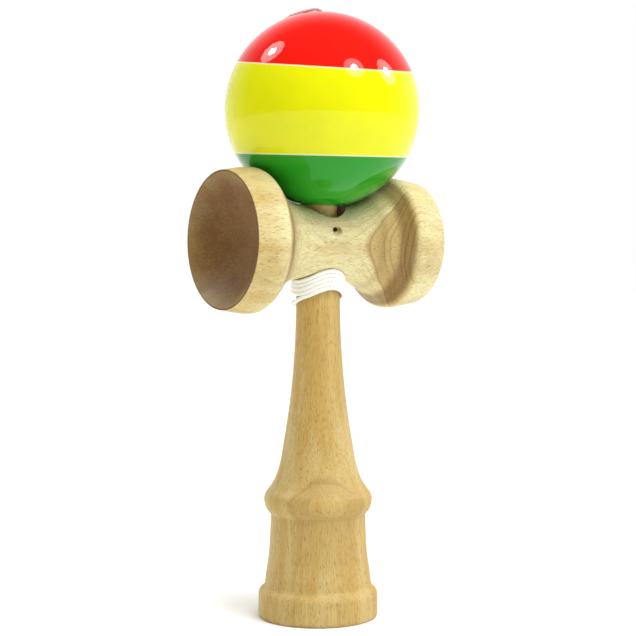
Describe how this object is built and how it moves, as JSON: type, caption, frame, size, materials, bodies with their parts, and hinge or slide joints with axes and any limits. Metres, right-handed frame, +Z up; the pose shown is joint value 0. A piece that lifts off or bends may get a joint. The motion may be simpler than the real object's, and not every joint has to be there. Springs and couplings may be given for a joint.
{
  "type": "kendama",
  "caption": "Wooden ball-and-cup toy: turned handle with spike and base cup, two-cup crosspiece, and a banded painted ball tied on by a string.",
  "frame": {"origin": "centre of the handle's base, on the surface the toy stands on", "axes": "+Z up along the handle and spike, -X towards the crosspiece's big cup, +X towards its small cup, -Y towards its front string hole"},
  "size_m": [0.0703, 0.0604, 0.1902],
  "materials": {
    "beech": "bare fine-sanded beech",
    "painted_ball": "gloss lacquer in red, yellow and green bands over wood",
    "bead": "small plain turned bead",
    "string": "thin twisted white cord"
  },
  "bodies": {
    "ken": {"ken": "beech", "sarado": "beech", "string_knot_ken": "string", "string_exit": "string", "string_winding": "string", "string_run": "string"},
    "bead": {"bead": "bead", "string_knot_bead": "string"},
    "tama": {"tama": "painted_ball"}
  },
  "joints": [
    {"name": "tama_lift", "type": "slide", "parent": "ken", "child": "bead", "axis": [0, 0, 1], "range_m": [0, 0.045], "deforming": ["string_run"]},
    {"name": "tama_spin", "type": "hinge", "parent": "bead", "child": "tama", "pos_m": [0.0009, -0.0009, 0.15835], "axis": [0, -0.0767, 0.9971], "continuous": true}
  ]
}
